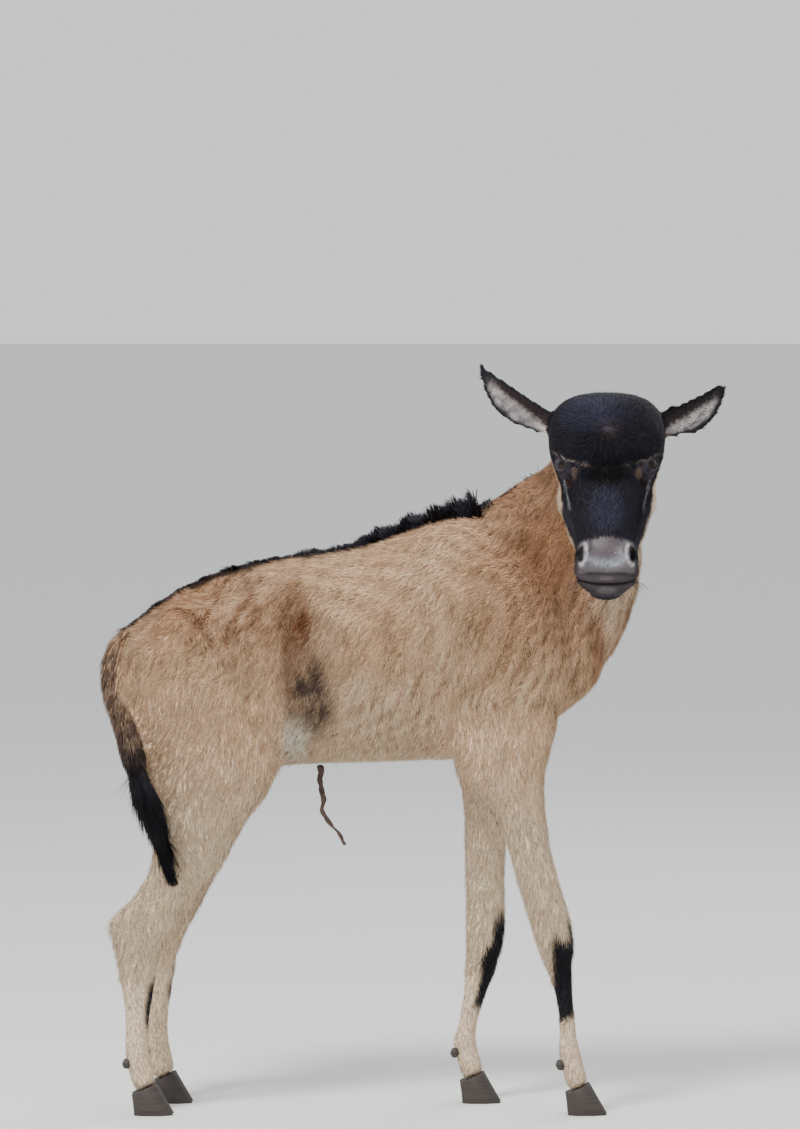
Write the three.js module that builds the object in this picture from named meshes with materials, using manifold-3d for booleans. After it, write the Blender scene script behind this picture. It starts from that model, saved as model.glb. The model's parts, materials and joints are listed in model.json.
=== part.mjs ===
// A newborn blue wildebeest, standing still with its head turned a quarter turn to its right.
// Millimetres, +Z up. +X is the way the body faces, +Y is the calf's left, the soles are on z = 0.
// Every size is taken to the tips of the coat. The tables put the middle plane of the body on y = 0;
// the finished group is moved so that the origin lies under the middle of its box.

import * as THREE from 'three';
import { LoftGeometry } from 'three/addons/geometries/LoftGeometry.js';
import { mergeVertices } from 'three/addons/utils/BufferGeometryUtils.js';
import Module from 'manifold-3d';

const wasm = await Module();
wasm.setup();

// Driving sizes
const GAP = 0.4; // clear space between parts that touch in life
const FORE_TRACK = 56; // a forefoot's distance from the middle plane
const HIND_TRACK = 58; // a hind foot's distance from the middle plane
const HOOF_LENGTH = 50; // sole of a claw, toe to heel
const CLAW_WIDTH = 19; // one claw of the pair
const CORONET_FRONT = 40; // height of the hoof's upper edge over the toe
const CORONET_SLOPE = 0.42; // fall of that edge for each millimetre towards the heel
const EYE_RADIUS = 13.5;
const EYE = [94, 47, -23]; // in the head's frame, on the left side
const EAR_THICKNESS = 4.2;
const BOX_SHIFT = new THREE.Vector3(-1.7, 70.6, 0); // from the tables' origin to the middle of the box

// The head's place: its own frame starts at the poll, with +X down the face and +Z off the forehead
const POLL = new THREE.Vector3(238, -118, 889);
const HEAD_PITCH = THREE.MathUtils.degToRad(50); // how far the face points down
const HEAD_TURN = THREE.MathUtils.degToRad(-91.8); // the quarter turn to the right
const headPose = new THREE.Matrix4()
  .makeTranslation(POLL)
  .multiply(new THREE.Matrix4().makeRotationZ(HEAD_TURN))
  .multiply(new THREE.Matrix4().makeRotationY(HEAD_PITCH));

// Colours and finishes
const coat = (colour) => new THREE.MeshStandardMaterial({ color: colour, roughness: 0.9, metalness: 0 });
const tan = coat(0xc9a27e);
const cream = coat(0xe4cfae);
const black = coat(0x1d1a20);
const brown = coat(0x6b5342);
const horn = new THREE.MeshStandardMaterial({ color: 0x2e2925, roughness: 0.5, metalness: 0 });
const wetNose = new THREE.MeshStandardMaterial({ color: 0x77737a, roughness: 0.35, metalness: 0 });
const wetEye = new THREE.MeshStandardMaterial({ color: 0x0d0a0a, roughness: 0.05, metalness: 0 });
const driedCord = new THREE.MeshStandardMaterial({ color: 0x4a3a33, roughness: 0.8, metalness: 0 });

// Numbers between the rows of a table, smoothly, t running from 0 at the first row to 1 at the last
function rowAt(rows, t) {
  const place = t * (rows.length - 1);
  const first = Math.min(Math.floor(place), rows.length - 2);
  const u = place - first;
  const row = (index) => rows[THREE.MathUtils.clamp(index, 0, rows.length - 1)];
  return rows[0].map((_, column) => {
    const [a, b, c, d] = [-1, 0, 1, 2].map((step) => row(first + step)[column]);
    const curve = 2 * b + (c - a) * u + (2 * a - 5 * b + 4 * c - d) * u * u + (3 * b - a - 3 * c + d) * u ** 3;
    return curve / 2;
  });
}

// Cosine and sine of an angle, squared off towards a rounded box as power rises above 2
function rounded(angle, power) {
  const square = (value) => Math.sign(value) * Math.abs(value) ** (2 / power);
  return [square(Math.cos(angle)), square(Math.sin(angle))];
}

// A closed body through rings, each ring worked out from the table's row at that place
function loft(rows, steps, sides, ringPoint) {
  const sections = [];
  for (let step = 0; step <= steps; step++) {
    const row = rowAt(rows, step / steps);
    const ring = [];
    for (let side = 0; side < sides; side++) {
      ring.push(ringPoint(row, (2 * Math.PI * side) / sides));
    }
    sections.push(ring);
  }
  return new LoftGeometry(sections, { closed: true, capStart: true, capEnd: true });
}

// The frame of a bent path at t. Rows: centre x, y, z, half depth, half width, direction of its back.
function frameAt(rows, t) {
  const [x, y, z, depth, width, ...towardsBack] = rowAt(rows, t);
  const ahead = new THREE.Vector3(...rowAt(rows, Math.min(t + 0.01, 1)).slice(0, 3));
  const behind = new THREE.Vector3(...rowAt(rows, Math.max(t - 0.01, 0)).slice(0, 3));
  const along = ahead.sub(behind).normalize();
  const back = new THREE.Vector3(...towardsBack);
  back.addScaledVector(along, -back.dot(along)).normalize();
  const across = new THREE.Vector3().crossVectors(back, along);
  return { centre: new THREE.Vector3(x, y, z), back, across, depth, width };
}

// A body along a bent path
function pathLoft(rows, steps, sides, power = 2) {
  const sections = [];
  for (let step = 0; step <= steps; step++) {
    const { centre, back, across, depth, width } = frameAt(rows, step / steps);
    const ring = [];
    for (let side = 0; side < sides; side++) {
      const [c, s] = rounded((2 * Math.PI * side) / sides, power);
      ring.push(centre.clone().addScaledVector(across, width * c).addScaledVector(back, depth * s));
    }
    sections.push(ring);
  }
  return new LoftGeometry(sections, { closed: true, capStart: true, capEnd: true });
}

// An egg-shaped mass of muscle, hair or horn
function mass(centre, half, segments = 16) {
  const geometry = new THREE.SphereGeometry(1, segments, Math.round(segments / 2));
  return geometry.scale(...half).translate(...centre);
}

// three.js geometry to a solid, and back to a mesh
function solid(geometry) {
  const bare = new THREE.BufferGeometry();
  bare.setAttribute('position', geometry.getAttribute('position'));
  bare.setIndex(geometry.getIndex());
  const merged = mergeVertices(bare, 1e-3);
  return new wasm.Manifold(new wasm.Mesh({
    numProp: 3,
    vertProperties: Float32Array.from(merged.getAttribute('position').array),
    triVerts: Uint32Array.from(merged.getIndex().array),
  }));
}

function mesh(name, shape, material) {
  const { vertProperties, triVerts } = shape.getMesh();
  const geometry = new THREE.BufferGeometry();
  geometry.setAttribute('position', new THREE.BufferAttribute(vertProperties, 3));
  geometry.setIndex(new THREE.BufferAttribute(triVerts, 1));
  geometry.computeVertexNormals();
  const part = new THREE.Mesh(geometry, material);
  part.name = name;
  return part;
}

const join = (...shapes) => shapes.reduce((whole, shape) => whole.add(shape));

// A block beyond a plane, for parting. Its near face is centred on a point and faces back along ahead;
// across and upright are the sizes of that face.
function block(point, ahead, { reach = 400, across = 400, upright = 400, pose = new THREE.Matrix4() } = {}) {
  const forward = new THREE.Vector3(...ahead).normalize();
  const left = new THREE.Vector3(0, 1, 0);
  if (Math.abs(forward.y) > 0.9) left.set(-1, 0, 0);
  left.addScaledVector(forward, -left.dot(forward)).normalize();
  const up = new THREE.Vector3().crossVectors(forward, left);
  return (spare) => {
    const box = new THREE.BoxGeometry(reach, across + 2 * spare, upright + 2 * spare);
    box.translate(reach / 2 - spare, 0, 0);
    box.applyMatrix4(new THREE.Matrix4().makeBasis(forward, left, up)).translate(...point);
    return solid(box.applyMatrix4(pose));
  };
}

// A block that holds one leg: its top slopes down from the outside to the groin or armpit
function legBlock(side, from, to, inner, outer) {
  const middle = 1.5; // kept clear of the other leg's block
  const far = 130; // past the widest part of the body
  const below = -20;
  return (spare) => {
    const outline = new THREE.Shape([
      new THREE.Vector2(side * (middle - spare), below),
      new THREE.Vector2(side * far, below),
      new THREE.Vector2(side * far, outer + spare),
      new THREE.Vector2(side * (middle - spare), inner + spare),
    ]);
    const prism = new THREE.ExtrudeGeometry(outline, { depth: to - from + 2 * spare, bevelEnabled: false });
    prism.translate(0, 0, from - spare);
    const axes = [new THREE.Vector3(0, 1, 0), new THREE.Vector3(0, 0, 1), new THREE.Vector3(1, 0, 0)];
    return solid(prism.applyMatrix4(new THREE.Matrix4().makeBasis(...axes)));
  };
}

// Parts a solid in two: what is left outside the block, and what is in it, with the gap between them
function part(whole, sized) {
  return [whole.subtract(sized(GAP / 2)), whole.intersect(sized(-GAP / 2))];
}

// The trunk: rump to breast. Rows: x, back, belly, half width.
const TRUNK = [
  [-377, 560, 502, 16],
  [-369, 579, 470, 42],
  [-348, 606, 440, 68],
  [-305, 640, 420, 84],
  [-240, 672, 414, 86],
  [-180, 686, 420, 84],
  [-120, 697, 424, 88],
  [-60, 706, 426, 93],
  [0, 730, 427, 94],
  [60, 745, 432, 89],
  [110, 742, 442, 82],
  [155, 724, 462, 74],
  [200, 684, 494, 62],
  [230, 640, 520, 46],
  [243, 604, 548, 20],
];

function trunk() {
  return solid(loft(TRUNK, 21, 18, ([x, back, belly, width], angle) => {
    const [c, s] = rounded(angle, 2.15);
    const widest = belly + 0.46 * (back - belly);
    const height = s > 0 ? back - widest : widest - belly;
    return new THREE.Vector3(x, width * c * (1 - 0.17 * s), widest + height * s);
  }));
}

// The neck: up from the breast and round to the back of the skull
const NECK = [
  [116, 2, 596, 120, 56, -0.66, 0, 0.75],
  [150, 2, 640, 132, 60, -0.7, 0, 0.7],
  [192, 0, 700, 113, 57, -0.82, 0.1, 0.56],
  [226, -10, 762, 84, 55, -0.62, 0.62, 0.5],
  [237, -44, 812, 66, 53, -0.12, 0.66, 0.75],
  [238, -92, 826, 54, 50, 0, 0.3, 0.95],
];

// The skull and face, in the head's own frame. Rows: x, top, bottom, half width, height of the widest place.
const SKULL = [
  [-34, -56, -84, 26, -70],
  [-26, -34, -98, 48, -62],
  [-8, -6, -108, 63, -50],
  [18, 9, -114, 70, -38],
  [45, 14, -118, 72, -32],
  [72, 15, -119, 69, -32],
  [96, 9, -117, 62, -36],
  [118, -5, -113, 54, -44],
  [142, -14, -108, 46.5, -52],
  [168, -21, -104, 41, -58],
  [192, -26, -101, 38, -60],
  [212, -31, -100, 37.5, -62],
  [229, -42, -99, 36, -66],
  [240, -56, -94, 30, -72],
  [246, -68, -85, 16, -76],
];

function skull() {
  const face = loft(SKULL, 22, 18, ([x, top, bottom, width, widest], angle) => {
    const [c, s] = rounded(angle, 2.4);
    const height = s > 0 ? top - widest : widest - bottom;
    const narrowing = s > 0 ? 1 : 1 - 0.18 * s * s;
    return new THREE.Vector3(x, width * c * narrowing, widest + height * s);
  });
  const masses = [solid(face)];
  for (const side of [-1, 1]) {
    masses.push(solid(mass([88, side * 34, -76], [44, 24, 36], 10))); // cheek
    masses.push(solid(mass([86, side * 46, -16], [26, 18, 20], 10))); // brow over the eye
    masses.push(solid(mass([216, side * 26, -44], [18, 12, 17], 8))); // wing of the nostril
  }
  return join(...masses.map((shape) => shape.transform(headPose.toArray())));
}

// The legs, sole to body. Rows: z, front x, rear x, y, half width. The side is 1 for left and -1 for right.
const FORELEG_RIGHT = [
  [14, 224, 196, 56, 18],
  [34, 222, 192, 56, 18.5],
  [54, 216, 185, 57, 17],
  [76, 212, 178, 57, 18],
  [98, 206, 181, 57, 15],
  [139, 203, 177, 57, 14.5],
  [165, 201, 170, 58, 18],
  [191, 204, 156, 59, 24],
  [221, 205, 146, 60, 26],
  [260, 197, 134, 61, 25],
  [310, 180, 119, 62, 26],
  [365, 171, 104, 62, 30],
  [400, 169, 76, 61, 34],
  [432, 172, 48, 58, 37],
  [475, 186, 48, 52, 38],
  [520, 190, 60, 46, 36],
];

const FORELEG_LEFT = [
  [14, 94, 66, 56, 18],
  [34, 93, 63, 56, 18.5],
  [54, 89, 56, 57, 17],
  [76, 84, 49, 57, 18],
  [98, 85, 57, 57, 15],
  [136, 97, 63, 57, 15],
  [160, 107, 64, 58, 18.5],
  [191, 119, 64, 59, 24],
  [221, 122, 64, 60, 26],
  [260, 122, 64, 61, 25],
  [310, 122, 62, 62, 26],
  [365, 130, 62, 62, 30],
  [400, 140, 56, 61, 34],
  [432, 158, 46, 58, 37],
  [475, 178, 48, 52, 38],
  [520, 186, 60, 46, 36],
];

const HINDLEG_RIGHT = [
  [14, -311, -340, 58, 18],
  [34, -312, -342, 58, 18.5],
  [54, -316, -350, 58, 17],
  [76, -319, -356, 58, 18],
  [100, -322, -354, 58, 15],
  [139, -316, -356, 58, 16],
  [174, -310, -364, 58, 19],
  [200, -301, -370, 59, 21],
  [226, -287, -376, 60, 23],
  [246, -273, -376, 61, 22],
  [277, -256, -341, 62, 23],
  [309, -233, -325, 62, 26],
  [340, -216, -322, 61, 31],
  [372, -190, -332, 59, 36],
  [410, -160, -346, 56, 40],
  [460, -158, -362, 52, 42],
  [520, -180, -372, 49, 42],
  [575, -220, -356, 46, 38],
];

const HINDLEG_LEFT = HINDLEG_RIGHT.map(([z, front, rear, y, width]) => {
  const ahead = 20 * THREE.MathUtils.smoothstep(480 - z, 0, 300); // this foot stands a little further on
  return [z, front + ahead, rear + ahead, y, width];
});

function leg(rows, side) {
  return solid(loft(rows, 19, 10, ([z, front, rear, y, width], angle) => {
    const [c, s] = rounded(angle, 2.2);
    return new THREE.Vector3((front + rear) / 2 + ((front - rear) / 2) * c, side * (y + width * s * side), z);
  }));
}

// One claw of a hoof, its toe turned slightly in. Rows: z, toe x, heel x, half width.
function claw(heel, middle, side) {
  const rows = [
    [0, heel + HOOF_LENGTH, heel, CLAW_WIDTH / 2],
    [14, heel + HOOF_LENGTH - 8, heel - 1, CLAW_WIDTH / 2],
    [28, heel + HOOF_LENGTH - 16, heel - 3, CLAW_WIDTH / 2 - 0.3],
    [46, heel + HOOF_LENGTH - 26, heel - 6, CLAW_WIDTH / 2 - 0.8],
  ];
  const centre = middle + side * (CLAW_WIDTH / 2 + GAP);
  return solid(loft(rows, 3, 9, ([z, toe, rear, width], angle) => {
    const [c, s] = rounded(angle, 2.5);
    const taper = 1 - 0.5 * Math.max(0, c) ** 3;
    const inner = side * s > 0 ? taper : 0.92 + 0.08 * taper;
    return new THREE.Vector3((toe + rear) / 2 + ((toe - rear) / 2) * c, centre + width * s * inner, z);
  }));
}

// A leaf-shaped ear, hollow towards its opening.
// Rows: along, upper edge, lower edge, hollow, thickness, as parts of the ear's length but the last.
const EAR = [
  [-0.14, 0.11, 0.12, 0.1, 8],
  [0, 0.135, 0.14, 0.15, 6],
  [0.2, 0.1, 0.22, 0.16, EAR_THICKNESS],
  [0.42, 0.07, 0.285, 0.14, EAR_THICKNESS],
  [0.64, 0.05, 0.27, 0.1, EAR_THICKNESS],
  [0.84, 0.035, 0.17, 0.05, EAR_THICKNESS],
  [0.96, 0.025, 0.07, 0.015, 3.4],
  [1.0, 0.01, 0.02, 0, 2.6],
];

function ear(base, tip, opening) {
  const along = new THREE.Vector3().subVectors(tip, base);
  const length = along.length();
  along.normalize();
  const out = opening.clone().addScaledVector(along, -opening.dot(along)).normalize();
  const down = new THREE.Vector3().crossVectors(along, out);
  if (down.z > 0) down.negate();
  const half = 7; // points from edge to edge, on each face
  const sections = [];
  for (let step = 0; step <= 12; step++) {
    const [place, upper, lower, hollow, thickness] = rowAt(EAR, step / 12);
    const ring = [];
    for (let index = 0; index < 2 * half; index++) {
      const onBack = index < half;
      const u = (onBack ? index + 0.5 : 2 * half - index - 0.5) / half; // 0 at the upper edge, 1 at the lower
      const edge = 4 * u * (1 - u);
      const reach = (-upper + (upper + lower) * u) * length;
      const depth = -hollow * length * edge + (onBack ? -1 : 1) * (thickness / 2) * Math.sqrt(edge);
      const point = base.clone().addScaledVector(along, place * length);
      ring.push(point.addScaledVector(down, reach).addScaledVector(out, depth));
    }
    sections.push(ring);
  }
  // Rings run the same way round as the path only on one side of the head
  if (new THREE.Vector3().crossVectors(down, out).dot(along) < 0) sections.forEach((ring) => ring.reverse());
  return solid(new LoftGeometry(sections, { closed: true, capStart: true, capEnd: true }));
}

// The tail, over the right buttock. Rows: x, y, z, half depth, half width, direction of its back.
const TAIL = [
  [-350, -4, 596, 10, 12, -0.6, 0, 0.8],
  [-367, -14, 566, 14, 14, -0.9, -0.3, 0.4],
  [-368, -44, 528, 15, 15, -0.8, -0.6, 0.1],
  [-352, -78, 482, 14, 16, -0.5, -0.85, 0.1],
  [-337, -103, 430, 14, 17, -0.3, -0.95, 0.1],
  [-321, -110, 392, 14, 19, -0.2, -0.97, 0.1],
  [-308, -106, 350, 12, 15, -0.2, -0.97, 0.1],
  [-296, -101, 312, 8, 8, -0.2, -0.97, 0.1],
  [-287, -99, 288, 2.5, 2.5, -0.2, -0.97, 0.1],
];

// The bristly mane, first along the withers. Rows as for a path, the half depth its height over the coat.
const WITHERS_MANE = [
  [-66, 0, 700, 4, 6, 0, 0, 1],
  [-30, 0, 714, 9, 9, 0, 0, 1],
  [22, 0, 733, 13, 11, 0, 0, 1],
  [62, 0, 742, 15, 12, -0.1, 0, 1],
  [94, 3, 748, 23, 12, -0.3, 0, 0.9],
];
const NAPE_ANGLE = THREE.MathUtils.degToRad(66); // the nape's place round the neck, turned off to the left
const NAPE_HEIGHT = 10;

// It goes on up the nape to the poll, on the side of the neck that the turned head leaves outermost
function mane() {
  const nape = [0.55, 0.68, 0.8, 0.92].map((t) => {
    const { centre, back, across, depth, width } = frameAt(NECK, t);
    const out = across.multiplyScalar(width * Math.cos(NAPE_ANGLE)).addScaledVector(back, depth * Math.sin(NAPE_ANGLE));
    return [...centre.add(out), NAPE_HEIGHT, 10, ...out.normalize()];
  });
  return solid(pathLoft([...WITHERS_MANE, ...nape], 16, 6));
}

// The dried cord under the belly. Rows: x, y, z, half depth, half width, direction of its back.
const NAVEL_CORD = [
  [-112, 0, 436, 4, 4, 1, 0, 0],
  [-112, -1, 414, 3.6, 3.6, 1, 0, 0],
  [-112, 1, 399, 2.6, 2.6, 1, 0, 0],
  [-108, 0, 388, 3.2, 2.8, 1, 0, 0],
  [-110, -1, 374, 2.2, 2.2, 1, 0, 0],
  [-107, 0, 363, 2.6, 2.2, 1, 0, 0],
  [-97, 1, 351, 2, 1.8, 1, 0, 0],
  [-86, 0, 337, 1.7, 1.6, 1, 0, 0],
  [-82, 0, 328, 1.2, 1.2, 1, 0, 0],
];

// The whole body of flesh and coat, before it is parted
const SIDES = [
  { name: 'right', side: -1, fore: FORELEG_RIGHT, hind: HINDLEG_RIGHT },
  { name: 'left', side: 1, fore: FORELEG_LEFT, hind: HINDLEG_LEFT },
];

const body = join(
  trunk(),
  solid(pathLoft(NECK, 10, 18, 2.1)),
  skull(),
  ...SIDES.flatMap(({ side, fore, hind }) => [
    leg(fore, side),
    leg(hind, side),
    solid(mass([112, side * 58, 560], [88, 38, 140], 10)), // shoulder
    solid(mass([-270, side * 54, 520], [96, 46, 124], 10)), // thigh
  ]),
);

const calf = new THREE.Group();
calf.position.copy(BOX_SHIFT);
const add = (name, shape, material) => calf.add(mesh(name, shape, material));

// The tail lies clear of the buttock in a shallow groove, its root let into the rump
const thicker = (rows) => rows.map(([x, y, z, depth, width, ...back]) => [x, y, z, depth + GAP, width + GAP, ...back]);
const tail = solid(pathLoft(TAIL, 14, 8));
const grooved = body.subtract(solid(pathLoft(thicker(TAIL), 14, 8)));
const [tailDock, tailTuft] = part(tail, block([-338, -100, 440], [0.2, -0.1, -0.97]));
add('tail_dock', tailDock, brown);
add('tail_tuft', tailTuft, black);

// Head from neck, and neck from trunk
const behindJaw = block([238, -59, 790], [0, -0.989, 0.146], { across: 156, upright: 350 });
const [headless, wholeHead] = part(grooved, behindJaw);
const [trunkAndLegs, neck] = part(headless, block([160, 0, 648], [0.783, 0, 0.622]));
add('neck', neck, tan);

// Eyes, set into the head
let head = wholeHead;
for (const { name, side } of SIDES) {
  const ball = (radius) => solid(mass([EYE[0], side * EYE[1], EYE[2]], [radius, radius, radius], 10).applyMatrix4(headPose));
  head = head.subtract(ball(EYE_RADIUS + GAP));
  add(`eye_${name}`, ball(EYE_RADIUS), wetEye);
}

// Nostrils, one on each side of the nose
for (const { side } of SIDES) {
  const pit = mass([219, side * 33, -40], [9, 7, 8], 8).applyMatrix4(headPose);
  head = head.subtract(solid(pit));
}

// Lower jaw and nose pad, parted from the head along the mouth and round the nose
const underMouth = block([305, 0, -61.4], [0.144, 0, -0.99], { pose: headPose });
const [upperHead, jaw] = part(head, underMouth);
const [skullPart, nosePad] = part(upperHead, block([217, 0, -50], [0.7, 0, 0.72], { pose: headPose }));
add('head', skullPart, black);
add('nose_pad', nosePad, wetNose);
add('lower_jaw', jaw, black);

// Ears. Bases are in the head's frame, tips in the calf's.
const EAR_TIPS = { right: [84, -92, 925], left: [386, -58, 900] };
for (const { name, side } of SIDES) {
  const base = new THREE.Vector3(24, side * 58, -36).applyMatrix4(headPose);
  const tip = new THREE.Vector3(...EAR_TIPS[name]);
  const opening = new THREE.Vector3(side * 0.1, -1, 0.1);
  const leaf = ear(base, tip, opening).subtract(wholeHead).subtract(wholeHead.translate(side * GAP, 0, 0));
  add(`ear_${name}`, leaf, black);
}

// Mane and navel cord, resting on the coat
const lifted = (shape, ...moves) => moves.reduce((rest, move) => rest.subtract(body.translate(move)), shape.subtract(body));
add('mane', lifted(mane(), [0, 0, GAP], [-GAP, 0, 0], [0, GAP, 0]), black);
add('navel_cord', lifted(solid(pathLoft(NAVEL_CORD, 13, 6)), [0, 0, -GAP]), driedCord);

// Legs from trunk, lower legs from upper, then the hooves and dewclaws
const LEGS = {
  foreleg: { from: 34, to: 240, inner: 428, outer: 556, joint: 172, track: FORE_TRACK },
  hindleg: { from: -400, to: -152, inner: 412, outer: 590, joint: 176, track: HIND_TRACK },
};
let trunkLeft = trunkAndLegs;
for (const { name, side, fore, hind } of SIDES) {
  for (const [kind, { from, to, inner, outer, joint, track }] of Object.entries(LEGS)) {
    const rows = kind === 'foreleg' ? fore : hind;
    const heel = rows[1][2];
    const [rest, whole] = part(trunkLeft, legBlock(side, from, to, inner, outer));
    trunkLeft = rest;

    // the coronet falls from front to heel, flesh above it and horn below
    const coronet = [heel + 30, side * track, CORONET_FRONT];
    const underCoronet = block(coronet, [CORONET_SLOPE, 0, -1]);
    let [flesh] = part(whole, underCoronet);
    for (const [place, off] of [['outer', side], ['inner', -side]]) {
      const [, horny] = part(claw(heel, side * track, off), underCoronet);
      add(`${kind}_${name}_hoof_${place}`, horny, horn);
      const dewclaw = (spare) => solid(mass([rows[3][2] + 4, side * track + off * 10, 62], [7, 5.5, 8].map((half) => half + spare), 6));
      flesh = flesh.subtract(dewclaw(GAP));
      add(`${kind}_${name}_dewclaw_${place}`, dewclaw(0), horn);
    }

    const [upper, lower] = part(flesh, block([(rows[5][1] + rows[5][2]) / 2, side * track, joint], [0, 0, -1]));
    add(`${kind}_${name}_upper`, upper, tan);
    add(`${kind}_${name}_lower`, lower, cream);
  }
}
add('trunk', trunkLeft, tan);

export default calf;
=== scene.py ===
import json
import math

import bmesh
import bpy
import numpy as np
from mathutils import Matrix, Vector
from mathutils.bvhtree import BVHTree

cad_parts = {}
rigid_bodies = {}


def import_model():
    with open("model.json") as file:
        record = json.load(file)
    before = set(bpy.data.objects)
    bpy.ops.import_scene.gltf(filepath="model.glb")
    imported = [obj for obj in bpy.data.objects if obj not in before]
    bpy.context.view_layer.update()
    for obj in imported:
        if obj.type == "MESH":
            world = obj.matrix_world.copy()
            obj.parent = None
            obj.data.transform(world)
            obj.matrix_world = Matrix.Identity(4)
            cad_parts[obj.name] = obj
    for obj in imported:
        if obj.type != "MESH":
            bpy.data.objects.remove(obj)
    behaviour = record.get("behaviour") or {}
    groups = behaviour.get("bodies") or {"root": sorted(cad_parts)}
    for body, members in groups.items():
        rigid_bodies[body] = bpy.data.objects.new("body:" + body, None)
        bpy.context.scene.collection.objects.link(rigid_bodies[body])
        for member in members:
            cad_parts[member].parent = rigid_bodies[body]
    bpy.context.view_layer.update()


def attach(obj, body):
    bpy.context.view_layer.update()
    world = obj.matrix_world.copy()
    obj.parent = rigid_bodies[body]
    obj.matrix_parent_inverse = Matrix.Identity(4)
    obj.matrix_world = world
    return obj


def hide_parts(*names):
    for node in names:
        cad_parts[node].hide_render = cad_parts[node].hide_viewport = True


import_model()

MM = 0.001
MIDDLE = 0.0706  # the body's middle plane, metres along Y
VOXEL = 4.6 * MM  # the size of the skin's squares
CORONET = 0.056  # below this height over the ground, in metres, the coat is thin
CORONET_DEPTH = 0.9 * MM
PATCH = 0.003  # one tuft's patch on the skin's unwrap
rng = np.random.default_rng(7)

# The photograph's camera, on a frame 36 mm high
CAMERA_PLACE = (-0.0153, -7.9294, 1.075)
CAMERA_DOWN = 2.858  # degrees
CAMERA_LENS = 206.6  # millimetres

# Soft lights: place, diameter in metres, power in watts
LIGHTS = {"key": ((-1.6, -2.6, 3.6), 1.3, 275), "back": ((1.8, 3.0, 3.2), 2.0, 60)}
LIGHTS_AIM = (0, 0, 0.6)
SKY_STRENGTH = 1.2
FLOOR_RADIUS = 60

# The head's own frame: +X down the face, +Y to the animal's left, +Z off the forehead
HEAD_POSE = (Matrix.Translation((0.2363, -0.0474, 0.889))
             @ Matrix.Rotation(math.radians(-91.8), 4, "Z")
             @ Matrix.Rotation(math.radians(50), 4, "Y"))
HEAD_AXES = np.array(HEAD_POSE.to_3x3())
HEAD_PLACE = np.array(HEAD_POSE.translation)

LEGS = ["foreleg_right", "foreleg_left", "hindleg_right", "hindleg_left"]
FACE = ["head", "nose_pad", "lower_jaw"]
FLESH = (["trunk", "neck", *FACE, "ear_right", "ear_left", "tail_dock", "tail_tuft"]
         + [leg + part for leg in LEGS for part in ("_upper", "_lower")])

# In the head's frame, millimetres, on the animal's left
EYE = (94, 47, -23)
EYE_RADIUS = 13.5

# Each ear's tip in metres, and its side: -1 right, 1 left
EARS = {"ear_right": ((0.0823, -0.0214, 0.925), -1), "ear_left": ((0.3843, 0.0126, 0.900), 1)}


def to_head(points):
    """Places in the head's frame, in millimetres."""
    return (points - HEAD_PLACE) @ HEAD_AXES / MM


def from_head(points):
    return np.asarray(points) * MM @ HEAD_AXES.T + HEAD_PLACE


def to_body(points):
    """Places in millimetres from the body's middle plane."""
    return (points - (0, MIDDLE, 0)) / MM


def eye_distance(head_points):
    """How far each place in the head's frame is from the nearer eye's centre."""
    away = [np.linalg.norm(head_points - np.array(EYE) * (1, side, 1), axis=1) for side in (-1, 1)]
    return np.min(away, axis=0)


def eye_frame(side):
    """An eye's centre, the way it looks, and the ways along and across the opening of its lids."""
    gaze = unit(np.array((0.08, side * 0.76, 0.64)))
    along = unit(np.cross(gaze, (-0.35, 0, 1.0)))
    return np.array(EYE) * (1, side, 1), gaze, along, np.cross(gaze, along)


def shade(code):
    """A colour from its sRGB hex value, made linear."""
    parts = [int(code[i:i + 2], 16) / 255 for i in (1, 3, 5)]
    return tuple(c / 12.92 if c < 0.04045 else ((c + 0.055) / 1.055) ** 2.4 for c in parts)


def smooth_step(value, start, end):
    t = np.clip((value - start) / (end - start), 0, 1)
    return t * t * (3 - 2 * t)


def unit(vectors):
    return vectors / np.maximum(np.linalg.norm(vectors, axis=-1, keepdims=True), 1e-9)


def ripple(points, size, seed):
    """A soft random field from -1 to 1, with hills about `size` metres apart."""
    draw = np.random.default_rng(seed)
    total = np.zeros(len(points))
    for _ in range(6):
        way = unit(draw.normal(size=3)) * draw.uniform(0.7, 1.5) * math.pi / size
        total += np.sin(points @ way + draw.uniform(0, 6.28))
    return total / 3


def spot(points, centre, half):
    """1 at the centre of a soft ellipsoid, 0 outside it. Millimetres."""
    away = np.linalg.norm((points - np.array(centre)) / np.array(half), axis=1)
    return 1 - smooth_step(away, 0.55, 1.25)


def blur_spot(points, centre, half):
    """As spot, but fading all the way from its centre."""
    away = np.linalg.norm((points - np.array(centre)) / np.array(half), axis=1)
    return np.exp(-away ** 2)


# Camera, lights and floor
def camera():
    data = bpy.data.cameras.new("camera")
    data.sensor_fit = "VERTICAL"
    data.sensor_height = 36
    data.lens = CAMERA_LENS
    data.clip_end = 200
    made = bpy.data.objects.new("camera", data)
    made.location = CAMERA_PLACE
    made.rotation_euler = (math.radians(90 - CAMERA_DOWN), 0, 0)
    bpy.context.scene.collection.objects.link(made)
    bpy.context.scene.camera = made


def light(name, place, size, power):
    data = bpy.data.lights.new(name, "AREA")
    data.shape = "DISK"
    data.size = size
    data.energy = power
    made = bpy.data.objects.new(name, data)
    made.location = place
    made.rotation_euler = (Vector(LIGHTS_AIM) - Vector(place)).to_track_quat("-Z", "Y").to_euler()
    bpy.context.scene.collection.objects.link(made)


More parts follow.
